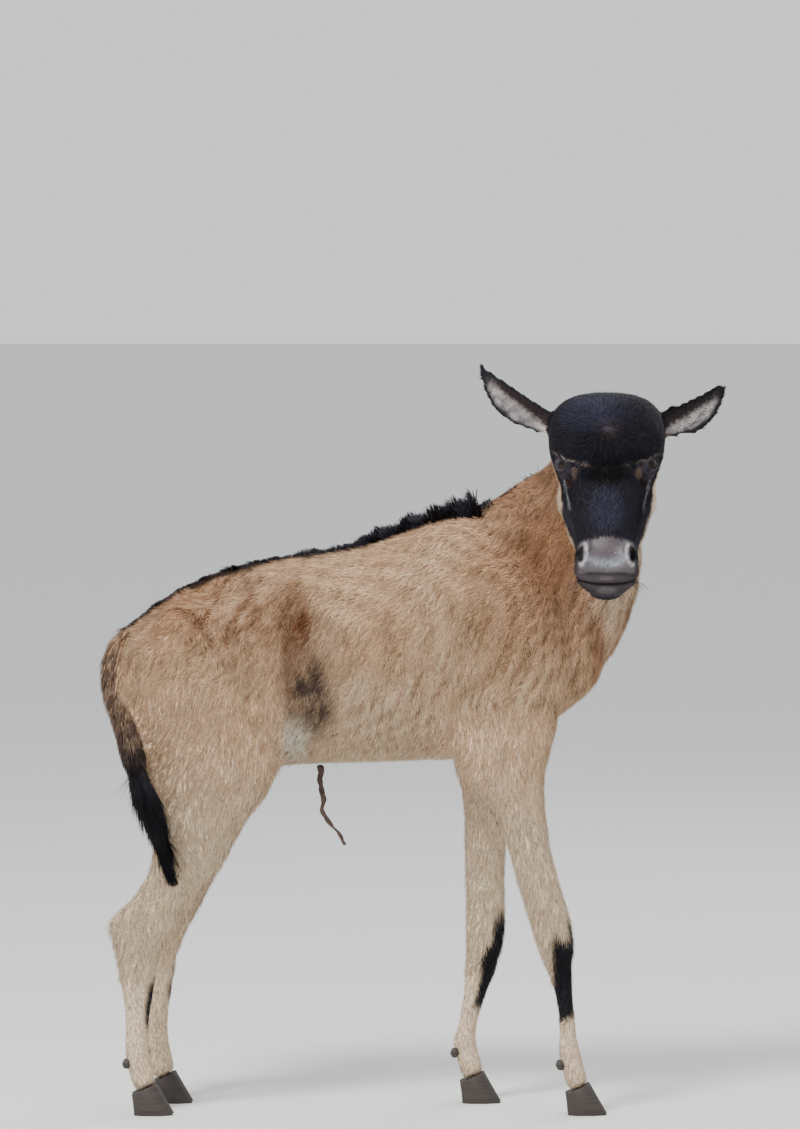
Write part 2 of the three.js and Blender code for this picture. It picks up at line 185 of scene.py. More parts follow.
def studio():
    world = bpy.data.worlds.new("studio")
    world.use_nodes = True
    sky = world.node_tree.nodes["Background"]
    sky.inputs["Color"].default_value = (*shade("#e9ebee"), 1)
    sky.inputs["Strength"].default_value = SKY_STRENGTH
    bpy.context.scene.world = world
    for name, (place, size, power) in LIGHTS.items():
        light(name, place, size, power)
    bm = bmesh.new()
    bmesh.ops.create_circle(bm, cap_ends=True, segments=96, radius=FLOOR_RADIUS)
    floor = finished("floor", bm)
    paint(floor, matte_paint())


# Meshes and materials
def finished(name, bm):
    mesh = bpy.data.meshes.new(name)
    bm.to_mesh(mesh)
    bm.free()
    made = bpy.data.objects.new(name, mesh)
    bpy.context.scene.collection.objects.link(made)
    return made


def paint(piece, material):
    piece.data.materials.clear()
    piece.data.materials.append(material)


def node(tree, kind, values=None, links=None, **settings):
    """One shader node with its settings, input values and incoming links."""
    made = tree.nodes.new("ShaderNode" + kind)
    for name, value in settings.items():
        setattr(made, name, value)
    for name, value in (values or {}).items():
        made.inputs[name].default_value = value
    for name, socket in (links or {}).items():
        tree.links.new(socket, made.inputs[name])
    return made


def material(name, **values):
    """A material with its Principled shader's own values set."""
    made = bpy.data.materials.new(name)
    made.use_nodes = True
    tree = made.node_tree
    shader = tree.nodes["Principled BSDF"]
    for key, value in values.items():
        shader.inputs[key.replace("_", " ")].default_value = value
    return made, tree, shader


def tinted(tree, shader, grain, darkest, palest):
    """Colours a material with the mesh's "tint", darker and paler by the grain."""
    tint = node(tree, "Attribute", attribute_name="tint")
    tone = node(tree, "MapRange", {"To Min": darkest, "To Max": palest}, {"Value": grain.outputs["Fac"]})
    mixed = node(tree, "VectorMath", None, {0: tint.outputs["Color"], 1: tone.outputs["Result"]},
                 operation="MULTIPLY")
    tree.links.new(mixed.outputs["Vector"], shader.inputs["Base Color"])


def grained(tree, shader, grain, dark, pale, strength):
    """Colours a material from dark to pale by its grain, and raises the grain as bump."""
    ramp = node(tree, "ValToRGB", None, {"Fac": grain.outputs["Fac"]})
    ramp.color_ramp.elements[0].color = (*shade(dark), 1)
    ramp.color_ramp.elements[1].color = (*shade(pale), 1)
    bump = node(tree, "Bump", {"Strength": strength, "Distance": 0.0006}, {"Height": grain.outputs["Fac"]})
    tree.links.new(ramp.outputs["Color"], shader.inputs["Base Color"])
    tree.links.new(bump.outputs["Normal"], shader.inputs["Normal"])


def matte_paint():
    # Studio floor paint: flat and pale
    made, _, shader = material("matte floor paint", Roughness=0.9)
    shader.inputs["Base Color"].default_value = (*shade("#d9d9d6"), 1)
    return made


def coat_hair():
    # Calf hair: soft, with a low gloss; the markings come with the mesh as "tint"
    made, tree, shader = material("calf hair", Roughness=0.62, IOR=1.5)
    shader.inputs["Specular IOR Level"].default_value = 0.16
    place = node(tree, "TexCoord")
    # Locks differ in tone over about 4 mm
    grain = node(tree, "TexNoise", {"Scale": 250.0, "Detail": 2.0}, {"Vector": place.outputs["Object"]})
    tinted(tree, shader, grain, 0.72, 1.28)
    return made


def hide():
    # The hide under the coat: the same markings, short flat hair as bump, bare damp skin on the nose
    made, tree, shader = material("calf hide", IOR=1.45)
    shader.inputs["Specular IOR Level"].default_value = 0.3
    bare = node(tree, "Attribute", attribute_name="bare")
    place = node(tree, "TexCoord")
    # Hair bump about 1.5 mm apart, stretched down the limb
    squeeze = node(tree, "Mapping", {"Scale": (1.0, 1.0, 0.3)}, {"Vector": place.outputs["Object"]})
    hair = node(tree, "TexNoise", {"Scale": 620.0, "Detail": 3.0}, {"Vector": squeeze.outputs["Vector"]})
    pebble = node(tree, "TexVoronoi", {"Scale": 650.0}, {"Vector": place.outputs["Object"]})
    height = node(tree, "Mix", None, {"Factor": bare.outputs["Fac"], "A": hair.outputs["Fac"],
                                      "B": pebble.outputs["Distance"]})
    bump = node(tree, "Bump", {"Strength": 0.4, "Distance": 0.0008}, {"Height": height.outputs[0]})
    rough = node(tree, "MapRange", {"To Min": 0.8, "To Max": 0.32}, {"Value": bare.outputs["Fac"]})
    tinted(tree, shader, hair, 0.6, 1.3)
    tree.links.new(rough.outputs["Result"], shader.inputs["Roughness"])
    tree.links.new(bump.outputs["Normal"], shader.inputs["Normal"])
    return made


def hoof_horn():
    # Keratin: dark, dull, with growth rings about 2 mm apart round the claw
    made, tree, shader = material("hoof horn", Roughness=0.6, IOR=1.45)
    place = node(tree, "TexCoord")
    squeeze = node(tree, "Mapping", {"Scale": (8.0, 8.0, 150.0)}, {"Vector": place.outputs["Object"]})
    rings = node(tree, "TexNoise", {"Scale": 3.0, "Detail": 4.0}, {"Vector": squeeze.outputs["Vector"]})
    grained(tree, shader, rings, "#1d1a18", "#453c36", 0.4)
    return made


# The skin: one mesh inside the CAD flesh
def merged_copy(name, swell):
    """A CAD node's shape as one closed mesh, swollen by `swell` metres."""
    bm = bmesh.new()
    bm.from_mesh(bpy.data.objects[name].data)
    bmesh.ops.remove_doubles(bm, verts=bm.verts, dist=1e-6)
    bm.normal_update()
    for vert, normal in [(v, v.normal.copy()) for v in bm.verts]:
        vert.co += normal * swell
    return bm


def rough_skin():
    """All the flesh joined into one surface of even squares. Nodes are swollen so that neighbours meet."""
    whole = bmesh.new()
    for name in FLESH + ["eye_right", "eye_left"]:
        bm = merged_copy(name, 1.4 * MM if name.startswith("ear") else 0.5 * MM)
        spare = bpy.data.meshes.new("spare")
        bm.to_mesh(spare)
        bm.free()
        whole.from_mesh(spare)
        bpy.data.meshes.remove(spare)
    made = finished("skin", whole)
    joining = made.modifiers.new("one surface", "REMESH")
    joining.mode = "VOXEL"
    joining.voxel_size = VOXEL
    joining.adaptivity = 0
    shell = bpy.data.meshes.new_from_object(made.evaluated_get(bpy.context.evaluated_depsgraph_get()))
    made.modifiers.clear()
    made.data = shell
    return made


class Surface:
    """The arrays that describe a mesh: points, edges, normals and values at its points."""

    def __init__(self, mesh):
        self.mesh = mesh
        self.points = np.empty((len(mesh.vertices), 3))
        mesh.vertices.foreach_get("co", self.points.ravel())
        self.edges = np.empty((len(mesh.edges), 2), dtype=int)
        mesh.edges.foreach_get("vertices", self.edges.ravel())
        self.count = np.maximum(np.bincount(self.edges.ravel(), minlength=len(self.points)), 1)
        self.refresh()

    def refresh(self):
        self.mesh.vertices.foreach_set("co", self.points.ravel())
        self.mesh.update()
        self.normals = np.empty((len(self.points), 3))
        self.mesh.vertices.foreach_get("normal", self.normals.ravel())

    def blur(self, values, rounds, amount=0.5):
        """Each value moves towards the mean of its neighbours."""
        flat = values.reshape(len(values), -1).astype(float)
        a, b = self.edges.T
        weight = np.broadcast_to(np.asarray(amount, float).reshape(-1, 1), (len(flat), 1))
        for _ in range(rounds):
            mean = np.empty_like(flat)
            for k, value in enumerate(flat.T):
                total = np.bincount(a, value[b], len(flat)) + np.bincount(b, value[a], len(flat))
                mean[:, k] = total / self.count
            flat = flat + (mean - flat) * weight
        return flat.reshape(values.shape)


def nearest_nodes(points, names):
    """For each point the index of the named CAD node whose surface is nearest."""
    places, faces, owner = [], [], []
    for index, name in enumerate(names):
        mesh = bpy.data.objects[name].data
        start = len(places)
        places += [v.co.copy() for v in mesh.vertices]
        for polygon in mesh.polygons:
            faces.append([start + i for i in polygon.vertices])
            owner.append(index)
    tree = BVHTree.FromPolygons(places, faces)
    found = [tree.find_nearest(Vector(p)) for p in points]
    return np.array([owner[hit[2]] for hit in found]), np.array([hit[3] for hit in found])


def distance_to(points, name, reach):
    """How far each point is from a CAD node's surface, or `reach` where it is farther."""
    mesh = bpy.data.objects[name].data
    tree = BVHTree.FromPolygons([v.co for v in mesh.vertices], [p.vertices for p in mesh.polygons])
    hits = [tree.find_nearest(Vector(p), reach) for p in points]
    return np.array([hit[3] if hit[3] is not None else reach for hit in hits])


# Each flesh node's coat, in millimetres: depth over the skin, length and width of a tuft, lift of its tip,
# tufts to a square millimetre, and the way the hair lies
COAT = {
    "trunk": (7.5, 13, 1.25, 4.2, 0.42, (-0.38, 0, -0.92)),
    "neck": (7.5, 12.5, 1.2, 4.2, 0.44, (-0.5, 0, -0.85)),
    "head": (2.4, 8.5, 0.95, 2.0, 0.42, (0, 0, -1)),
    "nose_pad": (0.3, 2, 0.8, 0.6, 0.02, (0, 0, -1)),
    "lower_jaw": (1.6, 6, 0.9, 1.6, 0.40, (0, 0, -1)),
    "ear_right": (1.3, 5.5, 0.9, 1.1, 0.62, (-0.6, 0.1, 0.5)),
    "ear_left": (1.3, 5.5, 0.9, 1.1, 0.62, (0.8, 0.1, 0.4)),
    "tail_dock": (3.5, 22, 1.3, 4.2, 0.42, (0.1, -0.3, -1)),
    "tail_tuft": (6.0, 52, 1.3, 2.0, 0.55, (0.2, 0, -1)),
    "foreleg_upper": (5.0, 13, 1.7, 3.4, 0.18, (-0.1, 0, -1)),
    "foreleg_lower": (2.6, 8.5, 1.3, 1.7, 0.25, (0, 0, -1)),
    "hindleg_upper": (5.5, 15, 1.8, 3.8, 0.17, (-0.25, 0, -1)),
    "hindleg_lower": (2.6, 8.5, 1.3, 1.7, 0.25, (0, 0, -1)),
}

ROWS = {name: COAT.get(name) or COAT[name.replace("_right", "").replace("_left", "")] for name in FLESH}

# Places where the face stands out (+) or sinks in (-), in the head's frame: how far, centre on the animal's
# left, half sizes
FACE_MOVES = (
    (2.6, (80, 45, 2), (16, 18, 14)),  # brow
    (-5.5, (115, 46, -27), (8, 8, 9)),  # tear pit
    (-2.0, (150, 42, -44), (24, 10, 12)),  # hollow of the cheek
    (8.5, (140, 46, -76), (58, 18, 32)),  # side of the jaw
    (2.8, (218, 38, -66), (26, 14, 30)),  # upper lip
    (-9, (214, 32, -37), (9.5, 5.5, 8)),  # nostril
    (2.6, (208, 24, -31), (12, 5, 7)),  # rim inside the nostril
    (2.2, (228, 18, -47), (8, 16, 6)),  # lower edge of the nose pad
)


def mouth_line(head_points):
    """Height over the line between the lips, in the head's frame."""
    return head_points[:, 2] + 61.5 + (246 - head_points[:, 0]) * 0.27


def sculpt_head(points, normals):
    """Orbits, lids, brow, tear pits, nostrils, mouth and lips, as moves of the skin's points."""
    h = to_head(points)
    out = to_head(points + normals * MM) - h
    near = smooth_step(h[:, 0], -60, -20) * (h[:, 2] > -150) * (np.abs(h[:, 1]) < 95)
    near = near * smooth_step(-h[:, 2], 150, 130)
    for side in (-1, 1):
        # The orbit: skin near the eye is laid over the ball, a lid's thickness away
        centre, gaze, along, across = eye_frame(side)
        away = h - centre
        radius = np.linalg.norm(away, axis=1)
        ray = away / np.maximum(radius, 1e-6)[:, None]
        turn = np.degrees(np.arccos(np.clip(ray @ gaze, -1, 1)))
        close = smooth_step(-radius, -46, -24) * (radius > 5)
        hold = (1 - smooth_step(turn, 38, 78)) * close
        lid_height = EYE_RADIUS + 1.9 + 2.0 * smooth_step(turn, 36, 70)
        # The opening between the lids is a slanted almond with raised edges
        almond = np.sqrt((ray @ along / 0.72) ** 2 + (ray @ across / 0.44) ** 2)
        inside = (1 - smooth_step(almond, 0.86, 1.04)) * (turn < 80)
        edge = np.exp(-((almond - 1.12) / 0.16) ** 2) * (turn < 80)
        goal = (lid_height + 1.1 * edge) * (1 - inside) + (EYE_RADIUS - 4.0) * inside
        shift = (goal - radius) * np.maximum(hold, inside * close)
        h = h + ray * shift[:, None]
        for push, (x, y, z), half in FACE_MOVES:
            h = h + out * (push * spot(h, (x, side * y, z), half))[:, None]
    # Crease across the brow, the forehead bulging over it
    middle = (1 - smooth_step(np.abs(h[:, 1]), 34, 50)) * (h[:, 2] > -30)
    crease = np.exp(-((h[:, 0] - 106) / 7.5) ** 2) * middle
    h = h - out * (5.5 * crease)[:, None]
    h = h + out * (3.4 * spot(h, (78, 0, 16), (24, 54, 22)))[:, None]
    # Line of the mouth, the chin, and the edge of the upper lip
    line = mouth_line(h)
    mouth = np.exp(-(line / 1.7) ** 2) * smooth_step(h[:, 0], 158, 178)
    h = h - out * (3.4 * mouth)[:, None]
    h = h + out * (4.5 * spot(h, (234, 0, -98), (22, 28, 13)))[:, None]
    h = h + out * (1.6 * np.exp(-((line - 5) / 3.6) ** 2) * smooth_step(h[:, 0], 200, 220))[:, None]
    return points + (from_head(h) - points) * near[:, None]


# Markings: one colour for each place on the body, used by the skin and the coat alike
TAN = "#dab088"
FAWN = "#ebccab"
CREAM = "#f4dfc2"
RUSSET = "#98603a"
BROWN = "#6b4630"
BLACK = "#15131a"

# Black on the fronts of the knees and cannons, millimetres: heights, the patch's rear edge along X at each,
# then its lower and upper ends
DARK_FRONTS = {
    "foreleg_right": ([123, 230], [167, 172], 122, 232),
    "foreleg_left": ([123, 236], [74, 104], 120, 242),
    "hindleg_right": ([110, 170], [-327, -322], 108, 176),
    "hindleg_left": ([110, 170], [-307, -304], 108, 176),
}


def layered(colour, layers):
    """Lays each sRGB hex colour over the last by its own amount."""
    for code, amount in layers:
        share = np.clip(amount, 0, 1)[:, None]
        colour = colour * (1 - share) + np.array(shade(code)) * share
    return colour


def head_markings(points, colour):
    """The face's colours, and how bare and damp each place is."""
    h = to_head(points)
    x, y, z = h.T
    side = np.abs(y)
    wob = ripple(points, 0.014, 21) * 3
    # Black mask over the whole front, ending on the sides of the face
    edge = np.interp(x, [0, 40, 60, 100, 130, 160, 190, 215, 240],
                     [-52, -46, -42, -44, -56, -60, -70, -92, -115])
    mask = smooth_step(z + wob, edge - 3, edge + 3) * smooth_step(x, -40, -26)
    cheek = (1 - smooth_step(z, -60, -46)) * smooth_step(x, 0, 30)
    # Painted sheen: a lighter blue-grey over the forehead and down the bridge of the nose
    painted_sheen = spot(h, (34, -18, 12), (34, 40, 30)) + spot(h, (160, 0, -20), (34, 22, 20))
    colour = layered(colour, (
        (CREAM, cheek * 0.9),
        (BLACK, mask),
        ("#262331", mask * (0.35 + 0.5 * spot(h, (30, 0, 10), (40, 46, 30)))),
        (RUSSET, 0.04 * mask * spot(h, (66, 2, 16), (15, 9, 16))),
        ("#3a3c52", 0.42 * mask * painted_sheen),
    ))
    # Heights on the face are measured down from the poll
    drop = 0.766 * x - 0.643 * z + 6.5 * smooth_step(x, 150, 200)
    flat = np.stack([side, drop, 0 * x], 1)
    front = smooth_step(x, 85, 95)
    golden = (0.5 + 0.3 * ripple(points, 0.004, 52)) * spot(flat, (38, 92, 0), (4.5, 7, 9))
    fold = np.exp(-((drop - np.interp(side, [14, 24, 51, 63], [80, 80, 77, 69])) / 1.1) ** 2)
    streak = np.exp(-((side - np.interp(drop, [100, 139], [52, 43.5])) / 0.9) ** 2)
    streak = streak * smooth_step(drop, 97, 103) * (1 - smooth_step(drop, 132, 142)) * front
    colour = layered(colour, (
        # painted shade in the crease under the brow, between the eyes
        ("#040306", spot(flat, (0, 92, 0), (30, 14, 9)) * front),
        ("#7d6650", 0.8 * golden * front),
        ("#2a120e", 0.9 * spot(flat, (46, 104, 0), (6, 9, 9)) * front),
        ("#a1948c", 0.75 * fold * smooth_step(side, 14, 20) * smooth_step(x, 70, 80)),
        ("#a9a9b3", 0.65 * streak),
        ("#4a434b", 0.7 * (1 - smooth_step(eye_distance(h), 15.8, 18))),
    ))
    # Nose pad, its pale nostril rims and a pale band of painted reflection on the wet pad, then lips and
    # chin
    pad = smooth_step(drop, 172 + 0.008 * y * y, 177 + 0.008 * y * y) * (1 - smooth_step(drop, 217, 221))
    pad = pad * (1 - smooth_step(side, 31, 36)) * smooth_step(x, 180, 190)
    muzzle = smooth_step(x, 196, 214)
    lip = muzzle * smooth_step(drop, 200, 215) * (1 - smooth_step(drop, 245, 251))
    rim = np.exp(-((np.hypot((side - 31.5) / 8, (drop - 194) / 14) - 1) / 0.2) ** 2) * (side < 34)
    speckle = 0.75 + 0.25 * ripple(points, 0.0028, 51)
    # Painted reflection: a pale blue-grey band across the wet pad, speckled as glints
    band = np.exp(-((drop - 207 + 0.012 * y * y) / 5.0) ** 2) * (1 - smooth_step(side, 24, 30))
    # Painted shade: near black inside each nostril
    nostril = spot(flat, (32, 195, 0), (4.4, 11.0, 9)) * muzzle
    # Painted shade: near black along the line between the lips
    mouth = np.exp(-(mouth_line(h) / 2.0) ** 2) * smooth_step(x, 165, 185)
    colour = layered(colour, (
        ("#3b3237", lip),
        ("#5d575b", pad),
        ("#4d4346", 0.8 * pad * spot(flat, (0, 186, 0), (19, 13, 9))),
        ("#c4bfbc", 0.95 * rim * pad * speckle),
        ("#9aa0aa", 0.72 * band * pad * speckle),
        ("#1c181b", 0.8 * np.exp(-((drop - 219) / 1.6) ** 2) * (side < 24) * muzzle),
        ("#020102", 1.6 * nostril),
        # painted sheen: a light spot on the middle of the upper lip
        ("#857b7c", 0.2 * spot(flat, (0, 225, 0), (10, 3, 9)) * muzzle),
        ("#8b8283", 0.28 * spot(flat, (0, 240, 0), (13, 5, 9)) * muzzle),
        ("#0b090a", mouth),
    ))
    bare = np.clip(pad + 0.3 * lip * (side < 30), 0, 1) * (1 - nostril)
    return colour, bare


def body_markings(points, names):
    """The colour of hair or hide and how bare it is, from each place and its part alone."""
    p = to_body(points)
    x, y, z = p.T
    side = np.abs(y)
    patch = ripple(points, 0.05, 3)
    ragged = np.clip(0.62 + 0.5 * strokes(points) + 0.35 * patch, 0, 1)
    throat = smooth_step(x, 205, 250) * smooth_step(-y, -10, 40) * smooth_step(z, 560, 620)
    colour = layered(np.tile(shade(TAN), (len(p), 1)), (
        (FAWN, 0.42 + 0.18 * patch),
        # Warmer over the shoulder and rump, cream below
        ("#9a6a48", 0.6 * smooth_step(x, 20, 150) * smooth_step(z, 520, 640)),
        ("#b0794f", 0.45 * smooth_step(-x, 150, 300) * smooth_step(z, 560, 640)),
        (CREAM, 0.68 * (1 - smooth_step(z + 30 * patch, 300, 510))),
        (CREAM, 0.3 * spot(p, (-60, -60, 500), (110, 90, 60))),
        (CREAM, 0.6 * (1 - smooth_step(side, 20, 50)) * (1 - smooth_step(z, 440, 500))),
        (CREAM, 0.6 * throat),
    ))
    # The fold before the thigh, where shade is painted
    fold = np.exp(-((x - np.interp(z, [470, 540, 620], [-142, -152, -153])) / 7) ** 2)
    fold = fold * smooth_step(z, 480, 520) * (1 - smooth_step(z, 600, 640)) * (side > 40)
    curls = np.exp(-(ripple(points, 0.024, 71) / 0.2) ** 2)
    curls = curls + 0.7 * np.exp(-(ripple(points, 0.016, 72) / 0.16) ** 2)
    for s in (-1, 1):
        colour = layered(colour, (
            # Painted shade in the hip hollow and along the fold before the thigh, a dark flank with a
            # painted highlight below it, then the rump's curls
            ("#6d4026", 3.0 * blur_spot(p, (-146, s * 78, 612), (21, 60, 35)) * ragged),
            (BROWN, 0.8 * fold * ragged),
            ("#4a3a34", 4.0 * blur_spot(p, (-124, s * 86, 522), (22, 60, 38)) * ragged),
            ("#f1e6d3", 2.2 * blur_spot(p, (-141, s * 80, 466), (15, 60, 26)) * ragged),
            ("#75462a", 0.85 * curls * blur_spot(p, (-235, s * 70, 625), (80, 90, 62))),
            # Front of the shoulder, painted shade on the neck under the jaw, then the hock
            (RUSSET, 0.55 * spot(p, (228, s * 26, 580), (14, 22, 60))),
            (RUSSET, 0.42 * spot(p, (172, s * 52, 695), (42, 50, 62))),
            ("#a8764c", 0.5 * spot(p, (-330, s * 50, 328), (26, 40, 12))),
        ))
    wob = 5 * ripple(points, 0.02, 5)
    for leg, (heights, edges, low, high) in DARK_FRONTS.items():
        rear = np.interp(z, heights, edges)
        ahead = smooth_step(x + wob, rear - 3, rear + 5)
        level = smooth_step(z + 2 * wob, low - 6, low + 10)
        level = level * (1 - smooth_step(z + 2 * wob, high - 12, high + 6))
        colour = layered(colour, ((BLACK, np.char.startswith(names, leg) * ahead * level),))
    # Dark line along the back to the tail, whose dock is grizzled
    width = np.interp(x, [-372, -330, -200, -60, 60, 110], [16, 15, 14, 14, 13, 12])
    width = width * (1 + 0.25 * ripple(points, 0.03, 6))
    back = smooth_step(-side + 0.5 * wob, -width - 3, -width + 1) * smooth_step(z, 560, 600)
    tail = np.char.startswith(names, "tail")
    colour = layered(colour, (
        ("#2c2023", 0.9 * back * (x < 130) * (names == "trunk")),
        ("#54423a", 0.9 * tail * (1 - smooth_step(z, 560, 610))),
        (BLACK, tail * (1 - smooth_step(z + wob, 430, 520))),
        ("#a58a70", 0.5 * tail * (ripple(points, 0.008, 9) > 0.3) * smooth_step(z, 440, 480)),
    ))
    bare = np.zeros(len(p))
    face = np.isin(names, FACE)
    colour[face], bare[face] = head_markings(points[face], colour[face])
    for ear in EARS:
        here = names == ear
        colour[here] = ear_markings(points[here], ear)
    return colour, bare


def ear_place(points, ear):
    """Each point's place along the ear and above the leaf's middle, as shares of the ear's length, then that
    length in metres and the way up."""
    tip, side = EARS[ear]
    base = from_head([(24, side * 58, -36)])[0]
    axis = np.array(tip) - base
    length = np.linalg.norm(axis)
    axis = axis / length
    up = unit(np.cross(axis, (side * 0.1, -1, 0.1)))
    up = up * np.sign(up[2])
    return (points - base) @ axis / length, (points - base) @ up / length, length, up


def ear_markings(points, ear):
    """Pale inside with a dark streak and a brown upper band, black rim and tip, cream at the root."""
    t, across, length, _ = ear_place(points, ear)
    upper = np.interp(t, [0, 0.2, 0.42, 0.64, 0.84, 0.96], [0.13, 0.1, 0.08, 0.05, 0.035, 0.02])
    lower = np.interp(t, [0, 0.2, 0.42, 0.64, 0.84, 0.96], [0.14, 0.22, 0.28, 0.26, 0.17, 0.07])
    rim = np.minimum(upper - across, across + lower) * length / MM
    streak = np.exp(-((across + 0.165 + 0.04 * ripple(points, 0.012, 61)) / 0.032) ** 2)
    streak = 0.9 * streak * smooth_step(t, 0.12, 0.3) * (1 - smooth_step(t, 0.6, 0.78))
    return layered(np.tile(shade("#aca5a1"), (len(points), 1)), (
        ("#38323c", streak),
        ("#7b7377", 0.15 + 0.6 * ripple(points, 0.007, 62)),
        ("#2c2022", smooth_step(across, -0.10, -0.055) * (1 - smooth_step(t, 0.75, 0.9))),
        (BLACK, 1 - smooth_step(rim, 5.5, 9.5)),
        (BLACK, smooth_step(t, 0.74, 0.86)),
        (CREAM, (1 - smooth_step(t, 0.02, 0.16)) * smooth_step(-across, 0.0, 0.1)),
    ))


def skin_piece():
    """The calf's hide as one closed surface, the coat's depth inside the CAD flesh."""
    made = rough_skin()
    shell = Surface(made.data)
    index, _ = nearest_nodes(shell.points, FLESH)
    # Thin ears keep their shape when the rest is smoothed
    firm = [0.06 if name.startswith("ear") else 0.3 if name in FACE else 0.5 for name in FLESH]
    firm = np.array(firm)[index]
    shell.points = shell.blur(shell.points, 9, firm)
    depth = np.array([ROWS[name][0] for name in FLESH])[index] * MM
    depth = np.where(shell.points[:, 2] < CORONET, CORONET_DEPTH, depth)
    depth = shell.blur(depth, 8)
    shell.refresh()
    shell.points = shell.points - shell.normals * depth[:, None]
    shell.points = shell.blur(shell.points, 2, firm)
    shell.refresh()
    # The left ear, seen more from the side, opens wider
    leaf = np.array(FLESH)[index] == "ear_left"
    t, across, length, up = ear_place(shell.points, "ear_left")
    spread = (across + 0.08) * length * np.where(across > -0.08, 0.34, 0.1)
    spread = spread * smooth_step(t, 0.08, 0.3) * (1 - smooth_step(t, 0.8, 1.0))
    shell.points += np.where(leaf, spread, 0)[:, None] * up
    shell.refresh()
    unwrap(made)
    refine(made, on_head)
    refine(made, face_detail)
    shell = Surface(made.data)
    shell.points = shell.blur(shell.points, 3, 0.35 * (np.abs(to_head(shell.points)[:, 1]) < 78))
    shell.refresh()
    shell.points = sculpt_head(shell.points, shell.normals)
    # The hollow before the thigh
    x, y, z = to_body(shell.points).T
    fold = np.exp(-((x - np.interp(z, [460, 540, 630], [-140, -152, -153])) / 13) ** 2)
    fold = fold * smooth_step(z, 450, 500) * (1 - smooth_step(z, 600, 660)) * smooth_step(np.abs(y), 35, 60)
    shell.points = shell.points - shell.normals * (6 * MM * fold)[:, None]
    shell.refresh()
    smooth(made)
    return made, shell


def on_head(points):
    """The front of the head, where the skin needs smaller faces."""
    x, y, z = to_head(points).T
    return (x > -15) & (np.abs(y) < 78) & (z > -115)


def face_detail(points):
    """Where the head needs its smallest faces: eyes, nose and mouth."""
    h = to_head(points)
    return (eye_distance(h) < 24) | ((h[:, 0] > 200) & (h[:, 2] > -90))


def unwrap(piece):
    """The skin laid flat in patches, as the map of where each lock's root lies."""
    bpy.context.view_layer.objects.active = piece
    piece.select_set(True)
    bpy.ops.object.mode_set(mode="EDIT")
    bpy.ops.mesh.select_all(action="SELECT")
    bpy.ops.uv.smart_project(angle_limit=math.radians(66), island_margin=0.002)
    bpy.ops.object.mode_set(mode="OBJECT")
    piece.select_set(False)
    piece.data.uv_layers[0].name = "OFBake"


def refine(piece, where):
    """Cuts every face in two both ways where the place asks for it."""
    bm = bmesh.new()
    bm.from_mesh(piece.data)
    points = np.array([v.co for v in bm.verts])
    chosen = where(points)
    edges = [e for e in bm.edges if chosen[e.verts[0].index] and chosen[e.verts[1].index]]
    bmesh.ops.subdivide_edges(bm, edges=edges, cuts=1, use_grid_fill=True, smooth=0.0)
    bm.to_mesh(piece.data)
    bm.free()


def store(mesh, name, values, kind="FLOAT"):
    """Keeps a number or a colour at each point, for the materials to read."""
    layer = mesh.attributes.new(name, kind, "POINT")
    if kind == "FLOAT_COLOR":
        opaque = np.hstack([values, np.ones((len(values), 1))])
        layer.data.foreach_set("color", opaque.astype(np.float32).ravel())
    else:
        layer.data.foreach_set("value", values.astype(np.float32))


# The coat
def head_lie(points):
    """The way the hair lies on the head: out from the whorl, down the nose, back over the cheeks."""
    h = to_head(points)
    x, y, z = h.T
    whorl = unit(np.stack([x - 66, 1.1 * (y - 2), 0 * x], axis=1) + 1e-4)
    nose = np.stack([1 + 0 * x, 0.35 * y / 40, -0.2 + 0 * x], axis=1)
    cheek = np.stack([-0.35 + 0 * x, 0.1 * np.sign(y), -0.95 + 0 * x], axis=1)
    front = smooth_step(x, 96, 112)[:, None]
    lie = whorl * (1 - front) + nose * front
    low = smooth_step(-z, 40, 64)[:, None] * (1 - smooth_step(x, 200, 225)[:, None])
    lie = lie * (1 - low) + cheek * low
    return unit(lie) @ HEAD_AXES.T


def body_lie(points, names):
    """The way the hair lies on the body, from the table and by place."""
    lie = np.array([ROWS[name][5] for name in names], dtype=float)
    x, y, z = to_body(points).T
    trunk = names == "trunk"
    for way, share in (((-0.8, 0, -0.6), smooth_step(z, 590, 680)),
                       ((-0.35, 0, -0.95), smooth_step(-x, 210, 330)),
                       ((-0.35, 0, -0.95), smooth_step(x, 130, 200))):
        share = (share * trunk)[:, None]
        lie = lie * (1 - share) + np.array(way) * share
    ridge = (trunk & (np.abs(y) < 26) & (z > 600))[:, None]
    lie = np.where(ridge, np.stack([-1 + 0 * x, 0.012 * y, -0.15 + 0 * x], axis=1), lie)
    face = np.isin(names, FACE)
    lie[face] = head_lie(points[face])
    return lie


def laid(lie, normals):
    """The lie brought into the skin's own plane."""
    return unit(lie - normals * np.sum(lie * normals, axis=1, keepdims=True))


